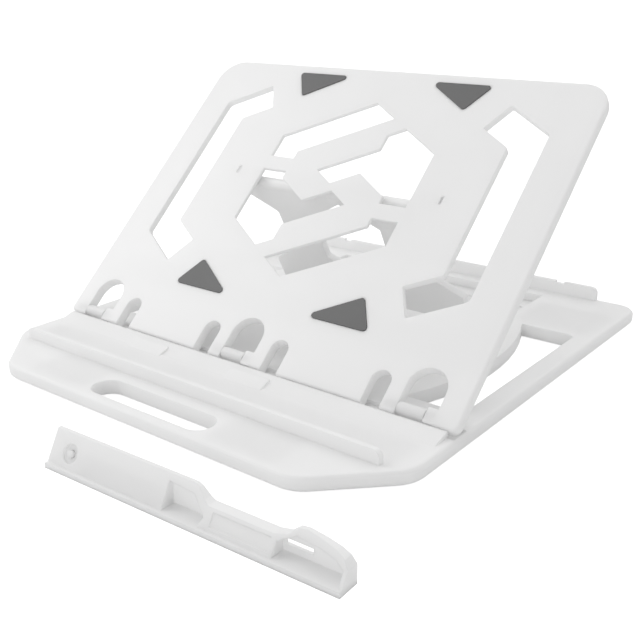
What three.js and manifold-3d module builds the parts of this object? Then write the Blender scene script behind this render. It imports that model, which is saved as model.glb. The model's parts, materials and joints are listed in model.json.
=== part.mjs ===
// Folding laptop stand: a ventilated tray that tilts on a flat base, the prop leg behind it,
// and a loose device rest that lies in front. Millimetres, +Z up, +X to the user's right, -Y towards
// the user. The origin is the bottom centre of everything as it stands.
import * as THREE from "three";
import { mergeVertices } from "three/addons/utils/BufferGeometryUtils.js";
import Module from "manifold-3d";

const wasm = await Module();
wasm.setup();

// ---- Driving dimensions -------------------------------------------------------------------------
const GAP = 0.3; // between pieces that touch
const RUNNING_GAP = 0.3; // around a pin, on the radius
const TAN30 = Math.tan(Math.PI / 6);
const COS30 = Math.cos(Math.PI / 6);

// Poses at rest, degrees
const PANEL_TILT = 42.7;
const LEG_ANGLE = -62; // of the leg, from the horizontal

// Tilting panel; v runs up the panel from its bottom edge
const PANEL_WIDTH = 280;
const PANEL_HEIGHT = 210;
const PANEL_THICKNESS = 6;
const PANEL_INNER = 4; // thickness inside the perimeter wall
const PANEL_SKIN = 2.6;
const PANEL_WALL = 3.2;
const PANEL_TOP_RADIUS = 17;
const PANEL_BOTTOM_RADIUS = 4;
const PANEL_EDGE = 1.5; // rounding of the rim
const PATTERN_V = (PANEL_HEIGHT * 4) / 7; // height of the centre of the cut-outs
const HEXAGON_RADIUS = 64;
const WEB_THICKNESS = 2.2;
const REBATE = 5; // width of the thinner border behind the hexagon
const WEB_HALF_WIDTH = 37.5;
const WEB_BAND = 20.4;
const WEB_NECK = 6.4;
const WEB_SET_BACK = 43.3; // height at which the outer edge of each web band crosses the middle
const WEB_ROOT_X = 19; // where each band narrows before it meets the frame
const WEB_ROOT = 11.2; // width of a band at the frame
const BRIDGE_W = 10.9; // bridges from the frame to the web, above and below the middle
const BRIDGE_HEIGHT = 10;
const SLOT_OUTER = PANEL_WIDTH / 2 - 23.4;
const SLOT_WIDTH = 20.1;
const SLOT_STRAIGHT = 53.4; // half the straight length of a side slot, on its outer edge
const SLOT_REACH = 34;
const SLOT_RADIUS = 4;
const CLIP_SLOT = [1.8, 5.5];
const PAD_BASE_W = 83;
const PAD_APEX_W = 64.2;
const PAD_X = [28.7, 70.6, 59.1]; // two base corners and the apex
const PAD_MITRE = [3.2, 1.7, 1.4]; // how far the corners move when the sides move out by 1
const PAD_RADIUS = 1.8;
const PAD_SINK = 1;
const PAD_PROUD = 0.5;

// Hinge between base and panel
const HINGE_HEIGHT = 13.15;
const HINGE_INSET = 4.5; // from the panel's bottom edge to the axis
const HINGE_PIN_RADIUS = 1.5;
const BARREL_RADIUS = 3.4;
const BARREL_LENGTH = 15.2;
const ARCH_SPACING = PANEL_WIDTH / 2 - 24;
const ARCH_RADIUS = 10.8;
const ARCH_HEIGHT = 28;
const RELIEF_SPACING = 25; // from each arch to the relief slot beside it
const RELIEF_RADIUS = 5.7;
const RELIEF_HEIGHT = 19.9;
const KNUCKLE_HEIGHT = 8.5;

// Prop leg; s runs down the leg from its pivot
const PIVOT_V = PATTERN_V + 1;
const PIVOT_DEPTH = PANEL_THICKNESS / 2 + 2.6; // behind the middle of the panel
const LEG_FOOT_HEIGHT = 10.1; // of the leg's foot above the desk, at rest
const LEG_THICKNESS = 4.5;
const LEG_HALF_WIDTH = 72;
const LEG_NOTCH = 19;
const LEG_SHOULDER = 10.2; // s at which the notches begin
const LEG_ENDS = 55.4; // length of the leg's two wide ends together
const LEG_OPENING = 25.7; // half width of the opening
const LEG_HUB_RADIUS = 3.6;
const LEG_PIN_RADIUS = 1.5;
const LEG_PIN_DEPTH = 12;
const EAR_THICKNESS = 6;
const EAR_RADIUS = 4.4;

// Base tray
const BASE_WIDTH = PANEL_WIDTH + 2;
const BASE_FRONT = 73; // in front of the panel's bottom edge
const BASE_REAR = 15.3; // the least between the well and the rear edge
const BASE_BOTTOM = 1;
const DECK = 9;
const DECK_SKIN = 2.4;
const BASE_EDGE = 2.4;
const BASE_CHAMFER = 38.5;
const BASE_REAR_RADIUS = 13;
const BASE_FRONT_RADIUS = 20;
const LIP_Y = -41.2;
const LIP_THICKNESS = 3;
const LIP_HALF_LENGTH = BASE_WIDTH / 2 - 15;
const LIP_TOP = 16;
const RIM_INSET = 5; // from the rear edge to the front of the rim
const RIM_THICKNESS = 3;
const RIM_HALF_LENGTH = BASE_WIDTH / 2 - 27.4;
const RIM_TOP = 17.5;
const WALL_CORNER = 4;
const RIM_NOTCH = [88, 6, 1.4]; // centre, width and depth
const LEDGE_HEIGHT = 3.2;
const LEDGE_DEPTH = 11;
const STOP_ENDS = [-43.5, 32.5]; // right ends of the two wedge-shaped stops on the ledge
const STOP_LENGTH = 26;
const STOP_HEIGHT = 3.4;
const STOP_DEPTH = 8;
const GRIP_HALF_LENGTH = 42;
const GRIP_Y = -58.7;
const GRIP_RADIUS = 8.7;
const WINDOW_FRONT = 26.4;
const WINDOW_TO_REAR = 72.5;
const WINDOW_RAIL = 12.2; // width of the side rail outside the window
const WINDOW_WAIST_X = BASE_WIDTH / 2 - 32.5;
const WINDOW_ARC = 165;
const WINDOW_RADIUS = 4;
const WELL_FRONT = 9; // in front of the leg's pivot, when folded
const WELL_BACK = 6; // behind the folded leg's foot
const WELL_FLOOR = 2.6;
const WELL_STEP_DEPTH = 14;
const WELL_STEP = 3.4;
const WELL_RADIUS = 5;
const RACK_HALF_WIDTH = 8;
const FOOT_RADIUS = 6;
const FOOT_HEIGHT = 2.5;

// Device rest: a wall on a shelf, with a sloping face between the two
const REST_LENGTH = 163;
const REST_DEPTH = 11.5;
const REST_HEIGHT = 16.6;
const REST_WALL = 1.8;
const REST_SHELF = 1.8;
const REST_SHELF_HEIGHT = 2.6;
const REST_BLOCK_END = 72;
const REST_WAIST = [94.5, 130]; // ends of the low middle
const REST_WAIST_HEIGHT = 10.8;
const REST_PLACE = [-2.3, -121.8];
const REST_TURN = 2.1;
const PEG_RADIUS = 1.6;
const PEG_LENGTH = 4.4;
const PEG_PLACE = [12.5, 8.6]; // along the rest, and height on its face
const PEG_DISH = [4.6, 1.2]; // radius and depth

// ---- Derived values -----------------------------------------------------------------------------
const rad = THREE.MathUtils.degToRad;
const tilt = rad(PANEL_TILT);
const half = PANEL_THICKNESS / 2;
// The panel's front bottom edge stands at y = 0, so the axis stands behind it.
const HINGE_Y = HINGE_INSET * Math.cos(tilt) + half * Math.sin(tilt);
const SWEEP = Math.hypot(HINGE_INSET, half) + 0.5; // radius that the panel's bottom edge clears
const PIVOT = new THREE.Vector2(PIVOT_V - HINGE_INSET, -PIVOT_DEPTH);
const LEG_RATIO = (LEG_ANGLE - PANEL_TILT) / PANEL_TILT; // leg turn per degree of panel tilt
const pivotHeight = HINGE_HEIGHT + PIVOT.x * Math.sin(tilt) + PIVOT.y * Math.cos(tilt);
const legRise = pivotHeight - LEG_THICKNESS / 2 - LEG_FOOT_HEIGHT;
const LEG_LENGTH = legRise / Math.sin(rad(-LEG_ANGLE)) + LEG_THICKNESS / 2;
const LEG_WAIST_LENGTH = LEG_LENGTH - LEG_ENDS;
const WELL_Y = [PIVOT_V - WELL_FRONT, PIVOT_V + LEG_LENGTH + WELL_BACK];
const WELL_STEP_Y = WELL_Y[1] - WELL_STEP_DEPTH;
const BASE_BACK = Math.max(PANEL_HEIGHT + 20.3, WELL_Y[1] + BASE_REAR);
const RIM_Y = BASE_BACK - RIM_INSET;
const WINDOW_Y = [WINDOW_FRONT, BASE_BACK - WINDOW_TO_REAR];
const EAR_X = LEG_HALF_WIDTH + 1.3;
const ARCHES = [-ARCH_SPACING, 0, ARCH_SPACING];
const SIDES = [-1, 1];
const HINGE_PIN_REACH = [-ARCH_RADIUS - 7, ARCH_RADIUS - 1.2]; // from the middle of its arch
const BARREL_START = -ARCH_RADIUS + 0.4;
const PAD_CORNERS = [[1, 1], [-1, 1], [-1, -1], [1, -1]];
const FEET = {
  front: [BASE_WIDTH / 2 - 45, -BASE_FRONT + 15],
  middle: [BASE_WIDTH / 2 - 23, (HINGE_Y + SWEEP + WINDOW_Y[0]) / 2],
  rear: [BASE_WIDTH / 2 - 17, BASE_BACK - 16.5],
};

// ---- Materials ----------------------------------------------------------------------------------
const plastic = (color) => new THREE.MeshStandardMaterial({ color, roughness: 0.45, metalness: 0 });
const rubber = (color) => new THREE.MeshStandardMaterial({ color, roughness: 0.8, metalness: 0 });
const steel = () => new THREE.MeshStandardMaterial({ color: 0xb9bbbd, roughness: 0.3, metalness: 1 });
const WHITE = 0xf2f2f0;
const PAD_GREY = 0x6e6e6e;
const FOOT_GREY = 0x58595b;

// ---- Solids -------------------------------------------------------------------------------------
function solid(geometry) {
  geometry.deleteAttribute("normal");
  geometry.deleteAttribute("uv");
  const merged = mergeVertices(geometry, 1e-4);
  return new wasm.Manifold(new wasm.Mesh({
    numProp: 3,
    vertProperties: new Float32Array(merged.attributes.position.array),
    triVerts: new Uint32Array(merged.index.array),
  }));
}

function meshOf(name, manifold, material) {
  const { numProp, vertProperties, triVerts } = manifold.getMesh();
  const positions = new Float32Array((vertProperties.length / numProp) * 3);
  for (let i = 0; i < positions.length / 3; i++) {
    positions.set(vertProperties.subarray(i * numProp, i * numProp + 3), i * 3);
  }
  const geometry = new THREE.BufferGeometry();
  geometry.setAttribute("position", new THREE.BufferAttribute(positions, 3));
  geometry.setIndex(new THREE.BufferAttribute(triVerts, 1));
  geometry.computeVertexNormals();
  const mesh = new THREE.Mesh(geometry, material);
  mesh.name = name;
  return mesh;
}

function box(x0, x1, y0, y1, z0, z1) {
  const geometry = new THREE.BoxGeometry(x1 - x0, y1 - y0, z1 - z0);
  return solid(geometry.translate((x0 + x1) / 2, (y0 + y1) / 2, (z0 + z1) / 2));
}

// A cylinder along X, around the point (y, z).
function rodX(x0, x1, y, z, radius, sides = 20) {
  const geometry = new THREE.CylinderGeometry(radius, radius, x1 - x0, sides);
  return solid(geometry.rotateZ(Math.PI / 2).translate((x0 + x1) / 2, y, z));
}

function rodZ(x, y, z0, z1, radius, sides = 28) {
  const geometry = new THREE.CylinderGeometry(radius, radius, z1 - z0, sides);
  return solid(geometry.rotateX(Math.PI / 2).translate(x, y, (z0 + z1) / 2));
}

// A closed outline through corners [x, y, radius], each rounded by its radius.
function rounded(corners) {
  const shape = new THREE.Shape();
  corners.forEach(([x, y, radius = 0], i) => {
    const corner = new THREE.Vector2(x, y);
    const before = new THREE.Vector2(...corners.at(i - 1)).sub(corner).normalize();
    const after = new THREE.Vector2(...corners[(i + 1) % corners.length]).sub(corner).normalize();
    const move = i === 0 ? "moveTo" : "lineTo";
    if (!radius) {
      shape[move](x, y);
      return;
    }
    const angle = Math.acos(THREE.MathUtils.clamp(before.dot(after), -1, 1));
    const reach = radius / Math.tan(angle / 2);
    const start = corner.clone().addScaledVector(before, reach);
    const end = corner.clone().addScaledVector(after, reach);
    const inward = before.clone().add(after).normalize();
    const centre = corner.clone().addScaledVector(inward, radius / Math.sin(angle / 2));
    const from = start.clone().sub(centre).angle();
    const to = end.clone().sub(centre).angle();
    shape[move](start.x, start.y);
    shape.absarc(centre.x, centre.y, radius, from, to, before.cross(after) > 0);
  });
  shape.closePath();
  return shape;
}

function rectangle(x0, x1, y0, y1, radius = 0) {
  return rounded([[x0, y0, radius], [x1, y0, radius], [x1, y1, radius], [x0, y1, radius]]);
}

const mirrored = (corners) => corners.map(([x, y, radius]) => [-x, y, radius]).reverse();
const polygon = (points) => new THREE.Shape(points.map(([x, y]) => new THREE.Vector2(x, y)));

// A straight extrusion of an outline in X and Y, from z0 to z1, with its edges rounded by edge.
function prism(shape, z0, z1, edge = 0, curveSegments = 6) {
  const bevel = edge
    ? { bevelEnabled: true, bevelSize: edge, bevelThickness: edge, bevelOffset: -edge, bevelSegments: 3 }
    : { bevelEnabled: false };
  const depth = z1 - z0 - 2 * edge;
  const geometry = new THREE.ExtrudeGeometry(shape, { depth, curveSegments, steps: 1, ...bevel });
  return solid(geometry.translate(0, 0, z0 + edge));
}

// The same for an outline in X and Z, from y0 to y1.
function prismAcross(shape, y0, y1) {
  const depth = y1 - y0;
  const geometry = new THREE.ExtrudeGeometry(shape, { depth, curveSegments: 6, bevelEnabled: false });
  return solid(geometry.rotateX(Math.PI / 2).translate(0, y1, 0));
}

// The same for an outline in Y and Z, from x0 to x1.
function prismAlong(shape, x0, x1) {
  const depth = x1 - x0;
  const geometry = new THREE.ExtrudeGeometry(shape, { depth, curveSegments: 6, bevelEnabled: false });
  return solid(geometry.rotateX(Math.PI / 2).rotateZ(Math.PI / 2).translate(x0, 0, 0));
}

const join = (first, ...rest) => rest.reduce((all, piece) => all.add(piece), first);
const cut = (body, tools) => tools.reduce((all, tool) => all.subtract(tool), body);

// ---- Panel --------------------------------------------------------------------------------------
// Panel frame: origin on the hinge axis, y up the panel, z out of its front face.
const panelY = (v) => v - HINGE_INSET;
const patternY = (w) => PATTERN_V + w - HINGE_INSET;
const frontZ = half;
const backZ = -half;

function panelPlate() {
  const side = PANEL_WIDTH / 2;
  const outline = rounded([
    [-side, panelY(0), PANEL_BOTTOM_RADIUS],
    [side, panelY(0), PANEL_BOTTOM_RADIUS],
    [side, panelY(PANEL_HEIGHT), PANEL_TOP_RADIUS],
    [-side, panelY(PANEL_HEIGHT), PANEL_TOP_RADIUS],
  ]);
  return prism(outline, backZ, frontZ, PANEL_EDGE, 8);
}

function hexagon(radius, z0, z1) {
  const corners = [];
  for (let i = 0; i < 6; i++) {
    const angle = Math.PI / 2 + (i * Math.PI) / 3;
    corners.push([radius * Math.cos(angle), patternY(radius * Math.sin(angle))]);
  }
  return prism(polygon(corners), z0, z1);
}

// Half of the web, from the frame at the upper right to the neck; the other half is its half turn.
function webOutline() {
  const rise = (u, c) => u * TAN30 + c;
  const fall = (u, c) => c - u * TAN30;
  const meet = (up, down) => (down - up) / (2 * TAN30); // u where a rising and a falling edge meet
  const outer = WEB_SET_BACK;
  const inner = outer - WEB_BAND / COS30;
  const neck = WEB_NECK / COS30 / 2;
  const hook = 20.8; // the falling outer edge of a hook, at the middle
  const back = hook - WEB_BAND / COS30 + 4.05;
  const root = outer - WEB_ROOT / COS30;
  const past = 30; // the web runs on into the frame
  const halfTurn = ([u, w]) => [-u, -w];
  const side = [
    [past, rise(past, outer)],
    [past, rise(past, root)],
    [WEB_ROOT_X, rise(WEB_ROOT_X, root)],
    [WEB_ROOT_X, rise(WEB_ROOT_X, inner)],
    [meet(inner, back), rise(meet(inner, back), inner)],
    [meet(neck, back), rise(meet(neck, back), neck)],
    [meet(neck, hook), rise(meet(neck, hook), neck)],
    [WEB_HALF_WIDTH, fall(WEB_HALF_WIDTH, hook)],
    [WEB_HALF_WIDTH, -rise(-WEB_HALF_WIDTH, outer)],
  ];
  return polygon([...side, ...side.map(halfTurn)].map(([u, w]) => [u, patternY(w)]).reverse());
}

function web() {
  const z0 = frontZ - WEB_THICKNESS;
  const bars = SIDES.map((s) => {
    const y = patternY(-s * BRIDGE_W);
    const [near, far] = [s * (WEB_HALF_WIDTH - 1), s * (HEXAGON_RADIUS * COS30 + 1)];
    const [x0, x1] = [Math.min(near, far), Math.max(near, far)];
    return box(x0, x1, y - BRIDGE_HEIGHT / 2, y + BRIDGE_HEIGHT / 2, z0, frontZ);
  });
  const clipped = prism(webOutline(), z0, frontZ).intersect(panelPlate());
  return join(clipped, ...bars);
}

function sideSlots() {
  const inner = SLOT_OUTER - SLOT_WIDTH;
  const end = [SLOT_OUTER - SLOT_REACH * COS30, SLOT_STRAIGHT + SLOT_REACH / 2];
  const tip = [end[0] - SLOT_WIDTH / 2, end[1] - SLOT_WIDTH * COS30];
  const innerCorner = SLOT_STRAIGHT - SLOT_WIDTH * TAN30;
  const upper = [
    [SLOT_OUTER, SLOT_STRAIGHT, SLOT_RADIUS],
    [...end, 0.8],
    [...tip, 0.8],
    [inner, innerCorner, SLOT_RADIUS / 2],
  ];
  const lower = upper.map(([x, w, radius]) => [x, -w, radius]).reverse();
  const right = [...upper, ...lower].map(([x, w, radius]) => [x, patternY(w), radius]);
  return [right, mirrored(right)].map((corners) => prism(rounded(corners), backZ - 1, frontZ + 1, 0, 4));
}

// Arches around the hinge barrels, and the relief slots that let the arms spring.
function archCuts() {
  const arch = (x, radius, height) => {
    const bottom = panelY(-1);
    const spring = panelY(height) - radius;
    const shape = new THREE.Shape();
    shape.moveTo(x - radius, bottom);
    shape.lineTo(x + radius, bottom);
    shape.absarc(x, spring, radius, 0, Math.PI, false);
    shape.closePath();
    return prism(shape, backZ - 1, frontZ + 1);
  };
  const reliefs = [-ARCH_SPACING + RELIEF_SPACING, -RELIEF_SPACING, RELIEF_SPACING, ARCH_SPACING - RELIEF_SPACING];
  return [
    ...ARCHES.map((x) => arch(x, ARCH_RADIUS, ARCH_HEIGHT)),
    ...reliefs.map((x) => arch(x, RELIEF_RADIUS, RELIEF_HEIGHT)),
  ];
}

// A knuckle at the foot of each arch, on the far side of the barrel.
function knuckles() {
  return ARCHES.map((x) => {
    const x0 = x + BARREL_START + BARREL_LENGTH + 0.5;
    const outline = rectangle(x0, x + ARCH_RADIUS + 1, panelY(0.3), panelY(KNUCKLE_HEIGHT), 1);
    return prism(outline, backZ, frontZ, 0, 3);
  });
}

// Hollows in the back between ribs, each [x0, x1, v0, v1], on both sides.
function backHollows() {
  const rail = SLOT_OUTER + PANEL_WALL;
  const rim = PANEL_WIDTH / 2 - PANEL_WALL;
  const top = PANEL_HEIGHT - PANEL_WALL;
  const slotTop = PATTERN_V + SLOT_STRAIGHT + SLOT_REACH / 2 + PANEL_WALL;
  const slotBottom = 2 * PATTERN_V - slotTop;
  const frame = HEXAGON_RADIUS * COS30 + PANEL_WALL;
  const cheek = SLOT_OUTER - SLOT_WIDTH - PANEL_WALL;
  const foot = ARCH_HEIGHT + 3.5;
  const hollows = [
    [rail, rim, foot, PATTERN_V - 36], [rail, rim, PATTERN_V - 33, PATTERN_V + 33],
    [rail, rim, PATTERN_V + 36, PANEL_HEIGHT - PANEL_TOP_RADIUS - PANEL_WALL],
    [2, 58, slotTop, top], [61, 116, slotTop, top],
    [2, 58, foot, slotBottom], [61, 116, foot, slotBottom],
    [frame, cheek, PATTERN_V - 36, PIVOT_V - 12], [frame, cheek, PIVOT_V + 12, PATTERN_V + 38],
    [27, 70, PATTERN_V + 56, slotTop - 3], [27, 70, slotBottom + 3, PATTERN_V - 56],
  ];
  return hollows.flatMap(([x0, x1, v0, v1]) => SIDES.map((s) => {
    const [a, b] = s > 0 ? [x0, x1] : [-x1, -x0];
    const outline = rectangle(a, b, panelY(v0), panelY(v1), 2.5);
    return prism(outline, backZ - 1, frontZ - PANEL_SKIN, 0, 2);
  }));
}

function padOutline([sx, sw], grow) {
  const [x0, x1, apex] = PAD_X;
  const corners = [
    [x0 - PAD_MITRE[0] * grow, PAD_BASE_W + grow, PAD_RADIUS + grow],
    [x1 + PAD_MITRE[1] * grow, PAD_BASE_W + grow, PAD_RADIUS + grow],
    [apex, PAD_APEX_W - PAD_MITRE[2] * grow, PAD_RADIUS + grow],
  ].map(([x, w, radius]) => [sx * x, patternY(sw * w), radius]);
  return rounded(sx * sw > 0 ? corners.reverse() : corners);
}

function panelEars() {
  return SIDES.map((s) => {
    const [x0, x1] = s > 0 ? [EAR_X, EAR_X + EAR_THICKNESS] : [-EAR_X - EAR_THICKNESS, -EAR_X];
    const block = box(x0, x1, PIVOT.x - EAR_RADIUS, PIVOT.x + EAR_RADIUS, PIVOT.y, frontZ - 1);
    return block.add(rodX(x0, x1, PIVOT.x, PIVOT.y, EAR_RADIUS));
  });
}

// Inside its perimeter wall the panel is thinner, seen from the back.
function backRecess() {
  const side = PANEL_WIDTH / 2 - PANEL_WALL;
  const outline = rectangle(-side, side, panelY(ARCH_HEIGHT + 3), panelY(PANEL_HEIGHT - PANEL_WALL),
    PANEL_TOP_RADIUS - PANEL_WALL);
  return prism(outline, backZ - 1, frontZ - PANEL_INNER, 0, 4);
}

function tiltPanel() {
  const wide = PANEL_WIDTH;
  const hub = LEG_HUB_RADIUS + 1.2;
  const cuts = [
    ...sideSlots(),
    ...archCuts(),
    backRecess(),
    ...backHollows(),
    ...PAD_CORNERS.map((corner) => prism(padOutline(corner, GAP), frontZ - PAD_SINK, frontZ + 1, 0, 3)),
    ...SIDES.map((s) => {
      const [x0, x1] = s > 0 ? [50, EAR_X] : [-EAR_X, -50];
      return box(x0, x1, PIVOT.x - hub, PIVOT.x + hub, backZ - 1, PIVOT.y + hub);
    }),
    ...SIDES.map((s) => {
      const [w, h] = CLIP_SLOT;
      const [x, y] = [s * (EAR_X + w / 2 - 0.2), PIVOT.x + 1.5];
      return box(x - w / 2, x + w / 2, y - h / 2, y + h / 2, 0, frontZ + 1);
    }),
  ];
  const frame = cut(panelPlate(), [
    hexagon(HEXAGON_RADIUS, backZ - 1, frontZ + 1),
    hexagon(HEXAGON_RADIUS + REBATE, backZ - 1, frontZ - WEB_THICKNESS),
    ...cuts,
  ]);
  const whole = join(frame, web(), ...knuckles(), ...panelEars());
  return meshOf("tilt_panel", cut(whole, [
    ...ARCHES.map((x) => rodX(x + HINGE_PIN_REACH[0] - GAP, x + HINGE_PIN_REACH[1] + GAP, 0, 0,
      HINGE_PIN_RADIUS + RUNNING_GAP)),
    rodX(-wide, wide, PIVOT.x, PIVOT.y, LEG_PIN_RADIUS + RUNNING_GAP)
      .intersect(box(-wide, wide, 0, PANEL_HEIGHT, PIVOT.y - EAR_RADIUS, backZ)),
  ]), plastic(WHITE));
}

function panelPads() {
  const names = ["rear_right", "rear_left", "front_left", "front_right"];
  return PAD_CORNERS.map((corner, i) => {
    const outline = padOutline(corner, 0);
    const pad = prism(outline, frontZ - PAD_SINK + GAP, frontZ + PAD_PROUD, 0, 4);
    return meshOf("panel_pad_" + names[i], pad, rubber(PAD_GREY));
  });
}

function hingePins() {
  const names = ["left", "centre", "right"];
  return ARCHES.map((x, i) => {
    const pin = rodX(x + HINGE_PIN_REACH[0], x + HINGE_PIN_REACH[1], 0, 0, HINGE_PIN_RADIUS);
    return meshOf("hinge_pin_" + names[i], pin, steel());
  });
}

function legPins() {
  return SIDES.map((s) => {
    const [near, far] = [LEG_HALF_WIDTH - LEG_PIN_DEPTH + GAP, EAR_X + EAR_THICKNESS - 0.5];
    const [x0, x1] = s > 0 ? [near, far] : [-far, -near];
    const pin = rodX(x0, x1, PIVOT.x, PIVOT.y, LEG_PIN_RADIUS);
    return meshOf("leg_pin_" + (s > 0 ? "right" : "left"), pin, steel());
  });
}

// ---- Leg ----------------------------------------------------------------------------------------
// Leg frame: origin on the pivot, y down the leg, z out of the face that looks at the panel's back
// when it is folded.
function supportLeg() {
  const waist = LEG_HALF_WIDTH - LEG_NOTCH;
  const flare = LEG_NOTCH * TAN30;
  const end = LEG_LENGTH - LEG_THICKNESS / 2;
  const side = [
    [LEG_HALF_WIDTH, 0],
    [LEG_HALF_WIDTH, LEG_SHOULDER, 1.5],
    [waist, LEG_SHOULDER + flare, 3],
    [waist, LEG_SHOULDER + flare + LEG_WAIST_LENGTH, 3],
    [LEG_HALF_WIDTH, LEG_SHOULDER + 2 * flare + LEG_WAIST_LENGTH, 1.5],
    [LEG_HALF_WIDTH, end],
  ];
  const middle = LEG_SHOULDER + flare + LEG_WAIST_LENGTH / 2;
  const point = LEG_OPENING * TAN30 + LEG_WAIST_LENGTH / 2;
  const opening = rounded([
    [0, middle - point, 1],
    [LEG_OPENING, middle - LEG_WAIST_LENGTH / 2, 1],
    [LEG_OPENING, middle + LEG_WAIST_LENGTH / 2, 1],
    [0, middle + point, 1],
    [-LEG_OPENING, middle + LEG_WAIST_LENGTH / 2, 1],
    [-LEG_OPENING, middle - LEG_WAIST_LENGTH / 2, 1],
  ]);
  const skin = LEG_THICKNESS / 2;
  const plate = prism(rounded([...side, ...mirrored(side)]), -skin, skin, 0, 3);
  const bores = SIDES.map((s) => {
    const [x0, x1] = s > 0
      ? [LEG_HALF_WIDTH - LEG_PIN_DEPTH, LEG_HALF_WIDTH + 1]
      : [-LEG_HALF_WIDTH - 1, -LEG_HALF_WIDTH + LEG_PIN_DEPTH];
    return rodX(x0, x1, 0, 0, LEG_PIN_RADIUS + RUNNING_GAP);
  });
  const body = join(
    plate.subtract(prism(opening, -skin - 1, skin + 1, 0, 2)),
    rodX(-LEG_HALF_WIDTH, LEG_HALF_WIDTH, 0, 0, LEG_HUB_RADIUS),
    rodX(-LEG_HALF_WIDTH, LEG_HALF_WIDTH, end, 0, skin, 16),
  );
  return meshOf("support_leg", cut(body, bores), plastic(WHITE));
}

// ---- Base ---------------------------------------------------------------------------------------
function baseOutline() {
  const side = BASE_WIDTH / 2;
  const right = [
    [side - BASE_CHAMFER, -BASE_FRONT, BASE_FRONT_RADIUS],
    [side, -BASE_FRONT + BASE_CHAMFER, BASE_FRONT_RADIUS],
    [side, BASE_BACK, BASE_REAR_RADIUS],
  ];
  return rounded([...right, ...mirrored(right)]);
}

// An upright wall along X with its top corners rounded.
function wall(halfLength, y, thickness, top) {
  const bottom = DECK - 2;
  const shape = rounded([
    [-halfLength, bottom], [halfLength, bottom], [halfLength, top, WALL_CORNER], [-halfLength, top, WALL_CORNER],
  ]);
  return prismAcross(shape, y, y + thickness);
}

function windowCut(s) {
  const [front, back] = WINDOW_Y;
  const outer = BASE_WIDTH / 2 - WINDOW_RAIL;
  const halfChord = (back - front) / 2;
  const centre = [WINDOW_WAIST_X - WINDOW_ARC, (front + back) / 2];
  const steps = 10;
  const span = Math.asin(halfChord / WINDOW_ARC);
  const corners = [[outer, front, WINDOW_RADIUS], [outer, back, WINDOW_RADIUS]];
  for (let i = 0; i <= steps; i++) {
    const angle = span * (1 - (2 * i) / steps);
    corners.push([centre[0] + WINDOW_ARC * Math.cos(angle), centre[1] + WINDOW_ARC * Math.sin(angle)]);
  }
  return prism(rounded(s > 0 ? corners : mirrored(corners)), BASE_BOTTOM - 1, DECK + 1, 0, 4);
}

// Where the leg's foot is, for a panel tilt in degrees.
function footAt(degrees) {
  const panel = rad(degrees);
  const leg = rad(degrees + LEG_RATIO * degrees);
  const pivot = PIVOT.clone().rotateAround(new THREE.Vector2(), panel);
  const reach = LEG_LENGTH - LEG_THICKNESS / 2;
  return [
    HINGE_Y + pivot.x + reach * Math.cos(leg),
    HINGE_HEIGHT + pivot.y + reach * Math.sin(leg) - LEG_THICKNESS / 2,
  ];
}

// The steps that catch the foot. Their crests keep just below the foot's path.
function rack() {
  const clear = 0.45;
  const stepDrop = 1.3;
  const tilts = [PANEL_TILT, 37.5, 32.5, 27.5, 22.5];
  const points = [[footAt(PANEL_TILT)[0] - 2, WELL_FLOOR - 1]];
  tilts.forEach((degrees) => {
    const [y, z] = footAt(degrees);
    const [nextY, nextZ] = footAt(degrees - 2.2);
    points.push([y - 2, Math.max(z - clear - stepDrop, WELL_FLOOR)]);
    points.push([y + 1.5, Math.max(z - clear - stepDrop, WELL_FLOOR)]);
    points.push([nextY - 1.5, Math.max(nextZ - clear, WELL_FLOOR)]);
    points.push([nextY, Math.max(nextZ - clear, WELL_FLOOR)]);
  });
  points.push([points.at(-1)[0], WELL_FLOOR - 1]);
  return prismAlong(polygon(points), -RACK_HALF_WIDTH, RACK_HALF_WIDTH);
}

// Hollows in the underside between ribs, each [x0, x1, y0, y1], on both sides.
function undersideHollows() {
  const side = BASE_WIDTH / 2;
  const hollows = [
    [GRIP_HALF_LENGTH + 5, side - 55, GRIP_Y - 8, LIP_Y - 1],
    [2, 42, LIP_Y + 1, -16], [45, 85, LIP_Y + 1, -16], [88, side - 12, LIP_Y + 1, -16],
    [2, 30, 16, 60], [33, 61, 16, 60], [64, 89, 32, 60],
    [2, 30, 63, WELL_Y[0] - 3], [33, 61, 63, WELL_Y[0] - 3], [64, 92, 63, WELL_Y[0] - 3],
    [88, side - 8, WINDOW_Y[1] + 6, BASE_BACK - 28],
  ];
  return hollows.flatMap(([x0, x1, y0, y1]) => SIDES.map((s) => {
    const [a, b] = s > 0 ? [x0, x1] : [-x1, -x0];
    return box(a, b, y0, y1, BASE_BOTTOM - 1, DECK - DECK_SKIN);
  }));
}

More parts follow.
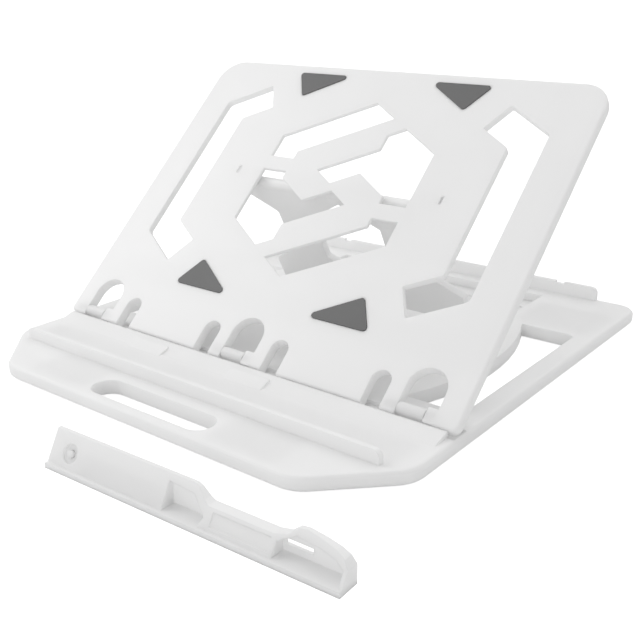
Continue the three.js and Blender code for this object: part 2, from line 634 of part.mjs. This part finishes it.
function baseTray() {
  const plate = prism(baseOutline(), BASE_BOTTOM, DECK, BASE_EDGE, 8);
  const trench = [HINGE_Y - SWEEP, HINGE_Y + SWEEP];
  const trenchFloor = HINGE_HEIGHT - SWEEP - GAP;
  const wellSide = EAR_X + EAR_THICKNESS + 1.8;
  const ledge = polygon([
    [trench[0] - LEDGE_DEPTH, DECK - 1], [trench[0], DECK - 1],
    [trench[0], DECK + LEDGE_HEIGHT], [trench[0] - 1.5, DECK + LEDGE_HEIGHT], [trench[0] - LEDGE_DEPTH, DECK],
  ]);
  const trenchEnd = PANEL_WIDTH / 2 - 0.8; // past it the panel's rounded corners clear the deck
  const trenchCut = box(-trenchEnd, trenchEnd, ...trench, trenchFloor, DECK + LEDGE_HEIGHT + 1);
  const well = [
    prism(rectangle(-wellSide, wellSide, WELL_Y[0], WELL_STEP_Y, WELL_RADIUS), WELL_FLOOR, DECK + 1, 0, 3),
    box(-wellSide, wellSide, WELL_STEP_Y - WELL_RADIUS - 1, WELL_Y[1], WELL_STEP, DECK + 1),
  ];
  const stopBack = trench[0] - LEDGE_DEPTH / 2;
  const stop = polygon([
    [stopBack - STOP_DEPTH, DECK - 1], [stopBack, DECK - 1],
    [stopBack, DECK + STOP_HEIGHT], [stopBack - STOP_DEPTH, DECK],
  ]);
  const [notchX, notchWidth, notchDepth] = RIM_NOTCH;
  const cuts = [
    prism(rectangle(-GRIP_HALF_LENGTH, GRIP_HALF_LENGTH, GRIP_Y - GRIP_RADIUS, GRIP_Y + GRIP_RADIUS,
      GRIP_RADIUS - 0.01), BASE_BOTTOM - 1, DECK + 1, 0, 10),
    ...SIDES.map(windowCut),
    trenchCut,
    ...well,
    ...undersideHollows(),
    ...Object.values(FEET).flatMap(([x, y]) => SIDES.map((s) =>
      rodZ(s * x, y, BASE_BOTTOM - 1, FOOT_HEIGHT + GAP, FOOT_RADIUS + GAP))),
    ...SIDES.map((s) => box(s * notchX - notchWidth / 2, s * notchX + notchWidth / 2, RIM_Y - 1,
      RIM_Y + RIM_THICKNESS + 1, RIM_TOP - notchDepth, RIM_TOP + 1)),
  ];
  const upstands = [
    wall(LIP_HALF_LENGTH, LIP_Y, LIP_THICKNESS, LIP_TOP),
    wall(RIM_HALF_LENGTH, RIM_Y, RIM_THICKNESS, RIM_TOP),
    prismAlong(ledge, -BASE_WIDTH / 2 + 5, BASE_WIDTH / 2 - 5),
    ...STOP_ENDS.map((x) => prismAlong(stop, x - STOP_LENGTH, x)),
  ];
  const hinges = ARCHES.flatMap((x) => {
    const [x0, x1] = [x + BARREL_START, x + BARREL_START + BARREL_LENGTH];
    return [
      rodX(x0, x1, HINGE_Y, HINGE_HEIGHT, BARREL_RADIUS),
      box(x0, x1, HINGE_Y - 2.4, HINGE_Y + 2.4, trenchFloor - 1, HINGE_HEIGHT),
    ];
  });
  const bores = ARCHES.map((x) =>
    rodX(x - ARCH_RADIUS, x + ARCH_RADIUS, HINGE_Y, HINGE_HEIGHT, HINGE_PIN_RADIUS + RUNNING_GAP));
  const body = join(cut(join(plate, ...upstands), cuts), ...hinges, rack());
  return meshOf("base_tray", cut(body, bores), plastic(WHITE));
}

function baseFeet() {
  return Object.entries(FEET).flatMap(([place, [x, y]]) => SIDES.map((s) => {
    const profile = [[0, 0], [FOOT_RADIUS - 0.8, 0], [FOOT_RADIUS, 0.8], [FOOT_RADIUS, FOOT_HEIGHT], [0, FOOT_HEIGHT]];
    const foot = new THREE.LatheGeometry(profile.map(([r, z]) => new THREE.Vector2(r, z)), 24);
    const body = solid(foot.rotateX(Math.PI / 2).translate(s * x, y, 0));
    return meshOf("base_foot_" + place + (s > 0 ? "_right" : "_left"), body, rubber(FOOT_GREY));
  }));
}

// ---- Device rest --------------------------------------------------------------------------------
// Rest frame: x along it from its left end, y back from its front edge, z up.
const restInner = REST_DEPTH - REST_WALL;
const faceRun = restInner - REST_SHELF;
const faceRise = REST_HEIGHT - REST_SHELF_HEIGHT;
const faceY = (z) => REST_SHELF + ((z - REST_SHELF_HEIGHT) * faceRun) / faceRise;

// A cylinder whose axis is square to the sloping face, from inward to outward of it.
function rodFromFace(x, z, inward, outward, radius, sides) {
  const geometry = new THREE.CylinderGeometry(radius, radius, outward - inward, sides);
  geometry.translate(0, (inward + outward) / 2, 0);
  geometry.rotateX(Math.PI / 2 + Math.atan2(faceRise, faceRun));
  return solid(geometry.translate(x, faceY(z), z));
}

// A shallow inset in the sloping face.
function faceInset(x0, x1, low, high, depth) {
  const shape = polygon([
    [faceY(low) - 5, low], [faceY(low) + depth, low], [faceY(high) + depth, high], [faceY(high) - 5, high],
  ]);
  return prismAlong(shape, x0, x1);
}

function deviceRest() {
  const inner = restInner;
  const section = polygon([
    [0, 0], [REST_DEPTH, 0], [REST_DEPTH, REST_HEIGHT], [inner, REST_HEIGHT],
    [REST_SHELF, REST_SHELF_HEIGHT], [0, REST_SHELF_HEIGHT],
  ]);
  const hollow = polygon([
    [faceY(0.6) + REST_WALL + 0.9, -1], [inner, -1], [inner, REST_HEIGHT / 2], [faceY(0.6) + REST_WALL + 0.9, 0.6],
  ]);
  const [waistStart, waistEnd] = REST_WAIST;
  const top = REST_HEIGHT + 1;
  // What is taken off the top: the low waist and the rounded right end.
  const skyline = [
    [85.5, top], [85.5, REST_HEIGHT], [88, 15.6], [92, 12.2], [waistStart, REST_WAIST_HEIGHT],
    [waistEnd - 2, REST_WAIST_HEIGHT], [134, 12.2], [138, 15.4], [142, 16], [150, 14.9], [156.5, 13.4],
    [160.5, 11.6], [REST_LENGTH, 8.6], [REST_LENGTH + 1, 8.6], [REST_LENGTH + 1, top],
  ];
  const low = REST_SHELF_HEIGHT;
  const leftRecess = [[REST_BLOCK_END, low], [92, low], [94, 6.4], [91, 8.8], [86.5, 12.6], [REST_BLOCK_END, 13.6]];
  const end = REST_LENGTH - REST_WALL;
  const rightRecess = [[waistEnd, low], [end, low], [end, 8], [157, 10.3], [150, 11.8], [138, 12.6], [waistEnd, 8.6]];
  const body = prismAlong(section, 0, REST_LENGTH);
  const [pegX, pegZ] = PEG_PLACE;
  const [dishRadius, dishDepth] = PEG_DISH;
  return meshOf("device_rest", cut(body, [
    prismAlong(hollow, pegX + 8, REST_BLOCK_END - REST_WALL),
    prismAcross(polygon(skyline), -1, REST_DEPTH + 1),
    prismAcross(polygon(leftRecess), -1, inner),
    prismAcross(polygon(rightRecess), -1, inner),
    faceInset(waistStart + 3.5, waistEnd - 2.5, 4, 9.2, 0.6),
    box(waistEnd + 1.2, waistEnd + 14.5, inner - 1, REST_DEPTH + 1, 5.6, 8.4),
    rodFromFace(pegX, pegZ, -dishDepth, 3, dishRadius, 24),
    rodFromFace(pegX, pegZ, -PEG_LENGTH, 1, PEG_RADIUS + GAP, 16),
  ]), plastic(WHITE));
}

function restPeg() {
  const peg = rodFromFace(...PEG_PLACE, GAP - PEG_LENGTH, GAP, PEG_RADIUS, 16);
  return meshOf("rest_peg", peg, plastic(WHITE));
}

// ---- Assembly -----------------------------------------------------------------------------------
function assembly() {
  const leg = new THREE.Group();
  leg.position.set(0, PIVOT.x, PIVOT.y);
  leg.rotation.x = rad(LEG_ANGLE - PANEL_TILT);
  leg.add(supportLeg());

  const panel = new THREE.Group();
  panel.position.set(0, HINGE_Y, HINGE_HEIGHT);
  panel.rotation.x = tilt;
  panel.add(tiltPanel(), ...panelPads(), ...hingePins(), ...legPins(), leg);

  const rest = new THREE.Group();
  rest.position.set(...REST_PLACE, 0);
  rest.rotation.z = rad(REST_TURN);
  rest.add(deviceRest(), restPeg());

  const stand = new THREE.Group();
  stand.add(baseTray(), ...baseFeet(), panel, rest);
  stand.updateMatrixWorld(true);
  const bounds = new THREE.Box3().setFromObject(stand);
  const centre = bounds.getCenter(new THREE.Vector3());
  stand.position.set(-centre.x, -centre.y, -bounds.min.z);
  return stand;
}

const root = new THREE.Group();
root.add(assembly());
export default root;
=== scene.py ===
import json
import math

import bpy
from mathutils import Matrix, Vector

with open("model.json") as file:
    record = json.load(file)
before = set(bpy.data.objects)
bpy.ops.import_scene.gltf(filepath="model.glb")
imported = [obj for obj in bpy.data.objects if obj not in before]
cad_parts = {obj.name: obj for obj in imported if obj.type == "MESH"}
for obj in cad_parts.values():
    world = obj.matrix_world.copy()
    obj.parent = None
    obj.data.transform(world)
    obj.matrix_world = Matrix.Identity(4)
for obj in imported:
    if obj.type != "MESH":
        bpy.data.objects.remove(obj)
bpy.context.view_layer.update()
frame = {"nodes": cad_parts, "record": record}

bl_info = {
    "name": "Folding laptop stand",
    "version": (1, 0, 0),
    "blender": (4, 5, 0),
    "location": "View3D > Sidebar > Stand",
    "description": "Finishes for a folding laptop stand of satin white plastic",
    "category": "Object",
}

# ---- Numbers of the finishes (metres) ----------------------------------------------------------

SHELL_GRAIN, SHELL_ROUGHNESS = 1400.0, 0.42
PAD_GRAIN, PAD_ROUGHNESS, PAD_EDGE = 2200.0, 0.62, 0.0003
FOOT_GRAIN, FOOT_ROUGHNESS, FOOT_EDGE = 1600.0, 0.8, 0.0004
SINK_SHADE = 0.985  # of the colour, where the surface has sunk a little
GLOSS_SPREAD = 0.03
EDGE_POLISH = 0.08
TEXTURE_DEPTH = 0.0002
SCATTER_LENGTH = 0.006  # how far light travels inside the plastic
MIX_FIRST, MIX_SECOND, MIX_RESULT = 6, 7, 2  # the Mix node's sockets for colours

# ---- Numbers of the stage ----------------------------------------------------------------------

# The hinge axis stands here in the stand's own frame, which the camera's place is given in.
HINGE_IN_STAND = Vector((0.0, 0.005342, 0.01315))
CAMERA_IN_STAND = Vector((0.3250, -0.3352, 0.2071))
CAMERA_AZIMUTH = math.radians(38.2)
CAMERA_ELEVATION = math.radians(20.22)
CAMERA_ROLL = math.radians(-0.28)

KEY_PLACE = (-0.65, -0.3, 0.65)
KEY_TARGET = (0.0, 0.0, 0.05)
KEY_SIZE = 0.5
TOP_LIGHT = (0.0, 0.6, 0.9)  # directions that the two suns shine from
FRONT_LIGHT = (0.3, -0.95, 0.3)
TOP_SPREAD, FRONT_SPREAD = 70.0, 60.0  # degrees
SKY_TOP = Vector((-0.35, 0.3, 0.88))  # where the sky is brightest
SKY_LOW = 0.35  # of that brightness, on the other side
SOFT_CONTRAST = 1.5
FLOOR_REACH = 30.0
FLOOR_GLOW = 0.8  # added where the camera sees the floor, to burn it out to white

# ---- Node helpers ------------------------------------------------------------------------------


def new_group(name, inputs, outputs):
    """A shader node group with its sockets, and its input and output nodes."""
    group = bpy.data.node_groups.new(name, "ShaderNodeTree")
    for label, kind, value in inputs:
        socket = group.interface.new_socket(label, in_out="INPUT", socket_type=kind)
        if value is not None:
            socket.default_value = value
    for label, kind in outputs:
        group.interface.new_socket(label, in_out="OUTPUT", socket_type=kind)
    return group, group.nodes.new("NodeGroupInput"), group.nodes.new("NodeGroupOutput")


def feed(tree, node, values):
    """Set each named input of a node, or link it where the value is another node's output."""
    for key, value in values.items():
        if isinstance(value, bpy.types.NodeSocket):
            tree.links.new(value, node.inputs[key])
        else:
            node.inputs[key].default_value = value
    return node


def put(tree, kind, settings=None, values=None):
    """A node with its settings and its inputs."""
    node = tree.nodes.new(kind)
    for key, value in (settings or {}).items():
        setattr(node, key, value)
    return feed(tree, node, values or {})


def maths(tree, operation, a, b):
    return put(tree, "ShaderNodeMath", {"operation": operation}, {0: a, 1: b}).outputs[0]


def remap(tree, value, low, high, to_low, to_high):
    """A value between low and high, brought to lie between two others."""
    node = put(tree, "ShaderNodeMapRange", {"clamp": True}, {
        "Value": value, "From Min": low, "From Max": high, "To Min": to_low, "To Max": to_high,
    })
    return node.outputs["Result"]


# ---- Shared effects ----------------------------------------------------------------------------


def moulded_texture():
    """Height and mask of the fine spark texture on moulded plastic."""
    group, start, end = new_group(
        "moulded_texture",
        [("Vector", "NodeSocketVector", None), ("Grain", "NodeSocketFloat", 900.0),
         ("Sink", "NodeSocketFloat", 26.0)],
        [("Height", "NodeSocketFloat"), ("Cloud", "NodeSocketFloat")],
    )
    place = start.outputs["Vector"]
    fine = put(group, "ShaderNodeTexNoise", None, {
        "Vector": place, "Scale": start.outputs["Grain"], "Detail": 3.0, "Roughness": 0.6,
    })
    sink = put(group, "ShaderNodeTexNoise", None, {
        "Vector": place, "Scale": start.outputs["Sink"], "Detail": 2.0, "Roughness": 0.5,
    })
    height = maths(group, "ADD", fine.outputs["Fac"], maths(group, "MULTIPLY", sink.outputs["Fac"], 0.6))
    group.links.new(height, end.inputs["Height"])
    group.links.new(sink.outputs["Fac"], end.inputs["Cloud"])


def edge_mask():
    """1 on outside edges of the given radius, 0 elsewhere, broken up by noise."""
    group, start, end = new_group(
        "edge_mask",
        [("Vector", "NodeSocketVector", None), ("Radius", "NodeSocketFloat", 0.001)],
        [("Mask", "NodeSocketFloat"), ("Normal", "NodeSocketVector")],
    )
    geometry = put(group, "ShaderNodeNewGeometry")
    bevel = put(group, "ShaderNodeBevel", {"samples": 6}, {"Radius": start.outputs["Radius"]})
    dot = put(group, "ShaderNodeVectorMath", {"operation": "DOT_PRODUCT"}, {
        0: bevel.outputs["Normal"], 1: geometry.outputs["Normal"],
    })
    edge = remap(group, dot.outputs["Value"], 0.995, 0.8, 0.0, 1.0)
    noise = put(group, "ShaderNodeTexNoise", None, {
        "Vector": start.outputs["Vector"], "Scale": 120.0, "Detail": 3.0,
    })
    broken = remap(group, noise.outputs["Fac"], 0.35, 0.65, 0.35, 1.0)
    group.links.new(maths(group, "MULTIPLY", edge, broken), end.inputs["Mask"])
    group.links.new(bevel.outputs["Normal"], end.inputs["Normal"])


def use_group(tree, name, values):
    node = tree.nodes.new("ShaderNodeGroup")
    node.node_tree = bpy.data.node_groups[name]
    return feed(tree, node, values)


# ---- Settings ----------------------------------------------------------------------------------


class StandFinish(bpy.types.PropertyGroup):
    shell_colour: bpy.props.FloatVectorProperty(
        name="Shell colour", description="Colour of the white plastic", subtype="COLOR",
        size=3, min=0.0, max=1.0, default=(0.9, 0.9, 0.898),
    )
    pad_colour: bpy.props.FloatVectorProperty(
        name="Pad colour", description="Colour of the silicone pads", subtype="COLOR",
        size=3, min=0.0, max=1.0, default=(0.049, 0.049, 0.049),
    )
    foot_colour: bpy.props.FloatVectorProperty(
        name="Foot colour", description="Colour of the rubber feet", subtype="COLOR",
        size=3, min=0.0, max=1.0, default=(0.09, 0.09, 0.095),
    )
    pin_colour: bpy.props.FloatVectorProperty(
        name="Pin colour", description="Colour of the steel pins", subtype="COLOR",
        size=3, min=0.0, max=1.0, default=(0.56, 0.56, 0.57),
    )
    edge_radius: bpy.props.FloatProperty(
        name="Edge radius", description="Softness of the moulded edges in the shading", subtype="DISTANCE",
        unit="LENGTH", min=0.0, default=0.0007,
    )
    translucency: bpy.props.FloatProperty(
        name="Translucency", description="Share of the light that enters the white plastic", subtype="FACTOR",
        min=0.0, max=1.0, default=0.7,
    )


class StandStage(bpy.types.PropertyGroup):
    lens: bpy.props.FloatProperty(
        name="Lens", description="Focal length on a 36 mm sensor", unit="CAMERA", min=1.0, default=51.9,
    )
    key_power: bpy.props.FloatProperty(
        name="Key power", description="Power of the lamp at the upper left", unit="POWER",
        min=0.0, default=2.5,
    )
    top_strength: bpy.props.FloatProperty(
        name="Top strength", description="Strength of the soft light from above", min=0.0, default=0.95,
    )
    front_strength: bpy.props.FloatProperty(
        name="Front strength", description="Strength of the soft light from the front", min=0.0, default=0.55,
    )
    sky_strength: bpy.props.FloatProperty(
        name="Sky strength", description="Light that comes from all round", min=0.0, default=0.43,
    )
    backdrop_colour: bpy.props.FloatVectorProperty(
        name="Backdrop colour", description="Colour of the floor", subtype="COLOR",
        size=3, min=0.0, max=1.0, default=(0.92, 0.92, 0.92),
    )


def finish_settings():
    return bpy.context.scene.stand_finish


def assign(nodes, material):
    for name in nodes:
        obj = frame["nodes"][name]
        obj.data.materials.clear()
        obj.data.materials.append(material)


def named(*starts):
    """The frame's nodes whose names start so."""
    return [name for name in frame["nodes"] if name.startswith(starts)]


def start_material(name):
    material = bpy.data.materials.new(name)
    material.use_nodes = True
    tree = material.node_tree
    shader = tree.nodes["Principled BSDF"]
    place = put(tree, "ShaderNodeTexCoord").outputs["Object"]
    return material, tree, shader, place


def mixed(tree, factor, first, second):
    """A colour between two, by a factor that changes over the surface."""
    values = {"Factor": factor, MIX_FIRST: (*first, 1.0), MIX_SECOND: (*second, 1.0)}
    return put(tree, "ShaderNodeMix", {"data_type": "RGBA"}, values).outputs[MIX_RESULT]


def shade(colour, by):
    return tuple(min(1.0, channel * by) for channel in colour)


def plastic(name, colour, grain, roughness, edge_radius, translucency=0.0):
    """Moulded plastic or rubber: texture, sink marks in the gloss, soft and slightly polished edges."""
    material, tree, shader, place = start_material(name)
    texture = use_group(tree, "moulded_texture", {"Vector": place, "Grain": grain})
    edge = use_group(tree, "edge_mask", {"Vector": place, "Radius": edge_radius})
    cloud = remap(tree, texture.outputs["Cloud"], 0.3, 0.7, 0.0, 1.0)
    tree.links.new(mixed(tree, cloud, shade(colour, SINK_SHADE), colour), shader.inputs["Base Color"])
    polish = maths(tree, "MULTIPLY", edge.outputs["Mask"], -EDGE_POLISH)
    dull, bright = roughness + GLOSS_SPREAD, roughness - GLOSS_SPREAD
    gloss = remap(tree, texture.outputs["Cloud"], 0.3, 0.7, bright, dull)
    tree.links.new(maths(tree, "ADD", gloss, polish), shader.inputs["Roughness"])
    bump = put(tree, "ShaderNodeBump", None, {
        "Height": texture.outputs["Height"], "Strength": 0.12, "Distance": TEXTURE_DEPTH,
        "Normal": edge.outputs["Normal"],
    })
    tree.links.new(bump.outputs["Normal"], shader.inputs["Normal"])
    shader.inputs["IOR"].default_value = 1.5
    shader.inputs["Subsurface Weight"].default_value = translucency
    shader.inputs["Subsurface Radius"].default_value = (1.0, 1.0, 1.0)
    shader.inputs["Subsurface Scale"].default_value = SCATTER_LENGTH
    return material


# ---- Operators ---------------------------------------------------------------------------------


class STAND_OT_effects(bpy.types.Operator):
    """Build the shared shader groups"""

    bl_idname = "stand.effects"
    bl_label = "Shared effects"

    def execute(self, context):
        moulded_texture()
        edge_mask()
        return {"FINISHED"}


class STAND_OT_shell(bpy.types.Operator):
    """Finish the white plastic pieces"""

    bl_idname = "stand.shell"
    bl_label = "White shell"

    def execute(self, context):
        look = finish_settings()
        colour, edge = tuple(look.shell_colour), look.edge_radius
        white = plastic("shell_white", colour, SHELL_GRAIN, SHELL_ROUGHNESS, edge, look.translucency)
        assign(named("base_tray", "tilt_panel", "support_leg", "device_rest", "rest_peg"), white)
        return {"FINISHED"}


class STAND_OT_pads(bpy.types.Operator):
    """Finish the silicone pads"""

    bl_idname = "stand.pads"
    bl_label = "Silicone pads"

    def execute(self, context):
        look = finish_settings()
        grey = plastic("pad_grey", tuple(look.pad_colour), PAD_GRAIN, PAD_ROUGHNESS, PAD_EDGE)
        assign(named("panel_pad"), grey)
        return {"FINISHED"}


class STAND_OT_feet(bpy.types.Operator):
    """Finish the rubber feet"""

    bl_idname = "stand.feet"
    bl_label = "Rubber feet"

    def execute(self, context):
        look = finish_settings()
        rubber = plastic("foot_rubber", tuple(look.foot_colour), FOOT_GRAIN, FOOT_ROUGHNESS, FOOT_EDGE)
        assign(named("base_foot"), rubber)
        return {"FINISHED"}


class STAND_OT_pins(bpy.types.Operator):
    """Finish the steel pins"""

    bl_idname = "stand.pins"
    bl_label = "Steel pins"

    def execute(self, context):
        look = finish_settings()
        colour = tuple(look.pin_colour)
        material, tree, shader, place = start_material("pin_steel")
        stretch = put(tree, "ShaderNodeMapping", None, {"Vector": place, "Scale": (30.0, 4000.0, 4000.0)})
        noise = {"Vector": stretch.outputs[0], "Scale": 1.0, "Detail": 2.0}
        lines = put(tree, "ShaderNodeTexNoise", None, noise).outputs["Fac"]
        tree.links.new(mixed(tree, lines, shade(colour, 0.85), colour), shader.inputs["Base Color"])
        tree.links.new(remap(tree, lines, 0.3, 0.7, 0.22, 0.38), shader.inputs["Roughness"])
        bump = put(tree, "ShaderNodeBump", None, {"Height": lines, "Strength": 0.2, "Distance": 0.0001})
        tree.links.new(bump.outputs["Normal"], shader.inputs["Normal"])
        shader.inputs["Metallic"].default_value = 1.0
        assign(named("hinge_pin", "leg_pin"), material)
        return {"FINISHED"}


def stand_origin():
    """The stand's own origin, under the front edge of the tray, in the frame's metres."""
    tilt = next(joint for joint in frame["record"]["behaviour"]["joints"] if joint["name"] == "tray_tilt")
    return Vector(tilt["pos_m"]) - HINGE_IN_STAND


def softbox(name, place, target, size, power):
    """A square lamp that faces a point."""
    data = bpy.data.lights.new(name, "AREA")
    data.size = size
    data.energy = power
    obj = bpy.data.objects.new(name, data)
    obj.location = place
    obj.rotation_euler = (Vector(target) - Vector(place)).to_track_quat("-Z", "Y").to_euler()
    bpy.context.scene.collection.objects.link(obj)


def soft_sun(name, towards, strength, spread):
    """A sun lamp that shines from the given direction, spread over so many degrees of sky."""
    data = bpy.data.lights.new(name, "SUN")
    data.energy = strength
    data.angle = math.radians(spread)
    obj = bpy.data.objects.new(name, data)
    obj.rotation_euler = Vector(towards).to_track_quat("Z", "Y").to_euler()
    bpy.context.scene.collection.objects.link(obj)


class STAND_OT_stage(bpy.types.Operator):
    """Set up the floor, the light and the camera"""

    bl_idname = "stand.stage"
    bl_label = "Stage"

    def execute(self, context):
        scene = context.scene
        stage = scene.stand_stage
        self.floor(scene, tuple(stage.backdrop_colour))
        softbox("key_light", KEY_PLACE, KEY_TARGET, KEY_SIZE, stage.key_power)
        soft_sun("top_light", TOP_LIGHT, stage.top_strength, TOP_SPREAD)
        soft_sun("front_light", FRONT_LIGHT, stage.front_strength, FRONT_SPREAD)
        scene.world = self.studio_world(stage.sky_strength)
        scene.view_settings.view_transform = "Standard"
        scene.view_settings.gamma = SOFT_CONTRAST
        self.camera(scene, stage.lens)
        return {"FINISHED"}

    def studio_world(self, strength):
        """White all round, brightest from above and a little from the back left."""
        world = bpy.data.worlds.new("studio")
        world.use_nodes = True
        tree = world.node_tree
        background = tree.nodes["Background"]
        towards = put(tree, "ShaderNodeVectorMath", {"operation": "DOT_PRODUCT"}, {
            0: put(tree, "ShaderNodeTexCoord").outputs["Generated"], 1: SKY_TOP.normalized(),
        })
        level = remap(tree, towards.outputs["Value"], -1.0, 1.0, strength * SKY_LOW, strength)
        seen = put(tree, "ShaderNodeLightPath").outputs["Is Camera Ray"]
        tree.links.new(maths(tree, "MAXIMUM", level, seen), background.inputs["Strength"])
        background.inputs["Color"].default_value = (1.0, 1.0, 1.0, 1.0)
        return world

    def floor(self, scene, colour):
        mesh = bpy.data.meshes.new("floor")
        corners = [(x * FLOOR_REACH, y * FLOOR_REACH, 0.0) for x, y in ((-1, -1), (1, -1), (1, 1), (-1, 1))]
        mesh.from_pydata(corners, [], [(0, 1, 2, 3)])
        floor = bpy.data.objects.new("floor", mesh)
        scene.collection.objects.link(floor)
        material, tree, shader, place = start_material("floor_paper")
        fibre = put(tree, "ShaderNodeTexNoise", None, {"Vector": place, "Scale": 300.0, "Detail": 3.0})
        paper = mixed(tree, fibre.outputs["Fac"], shade(colour, 0.99), colour)
        tree.links.new(paper, shader.inputs["Base Color"])
        shader.inputs["Roughness"].default_value = 0.9
        seen = put(tree, "ShaderNodeLightPath").outputs["Is Camera Ray"]
        tree.links.new(mixed(tree, seen, (0.0, 0.0, 0.0), (1.0, 1.0, 1.0)), shader.inputs["Emission Color"])
        shader.inputs["Emission Strength"].default_value = FLOOR_GLOW
        mesh.materials.append(material)

    def camera(self, scene, lens):
        data = bpy.data.cameras.new("camera")
        data.sensor_width = 36.0
        data.lens = lens
        data.clip_start, data.clip_end = 0.01, 100.0
        camera = bpy.data.objects.new("camera", data)
        scene.collection.objects.link(camera)
        a, e = CAMERA_AZIMUTH, CAMERA_ELEVATION
        ahead = Vector((-math.sin(a) * math.cos(e), math.cos(a) * math.cos(e), -math.sin(e)))
        right = Vector((math.cos(a), math.sin(a), 0.0))
        up = right.cross(ahead)
        turned = Matrix((right, up, -ahead)).transposed() @ Matrix.Rotation(CAMERA_ROLL, 3, "Z")
        camera.matrix_world = Matrix.Translation(stand_origin() + CAMERA_IN_STAND) @ turned.to_4x4()
        scene.camera = camera


OPERATORS = (
    STAND_OT_effects,
    STAND_OT_shell,
    STAND_OT_pads,
    STAND_OT_feet,
    STAND_OT_pins,
    STAND_OT_stage,
)


class STAND_PT_panel(bpy.types.Panel):
    """Sizes, colours and steps of the stand"""

    bl_label = "Laptop stand"
    bl_idname = "STAND_PT_panel"
    bl_space_type = "VIEW_3D"
    bl_region_type = "UI"
    bl_category = "Stand"

    def draw(self, context):
        column = self.layout.column()
        for settings in (context.scene.stand_finish, context.scene.stand_stage):
            for name in settings.__annotations__:
                column.prop(settings, name)
        for operator in OPERATORS:
            column.operator(operator.bl_idname)


CLASSES = (StandFinish, StandStage, *OPERATORS, STAND_PT_panel)


def register():
    for cls in CLASSES:
        bpy.utils.register_class(cls)
    bpy.types.Scene.stand_finish = bpy.props.PointerProperty(type=StandFinish)
    bpy.types.Scene.stand_stage = bpy.props.PointerProperty(type=StandStage)


def unregister():
    del bpy.types.Scene.stand_stage
    del bpy.types.Scene.stand_finish
    for cls in reversed(CLASSES):
        bpy.utils.unregister_class(cls)


def main():
    register()
    for operator in OPERATORS:
        group, name = operator.bl_idname.split(".")
        getattr(getattr(bpy.ops, group), name)()


if __name__ == "__main__":
    main()
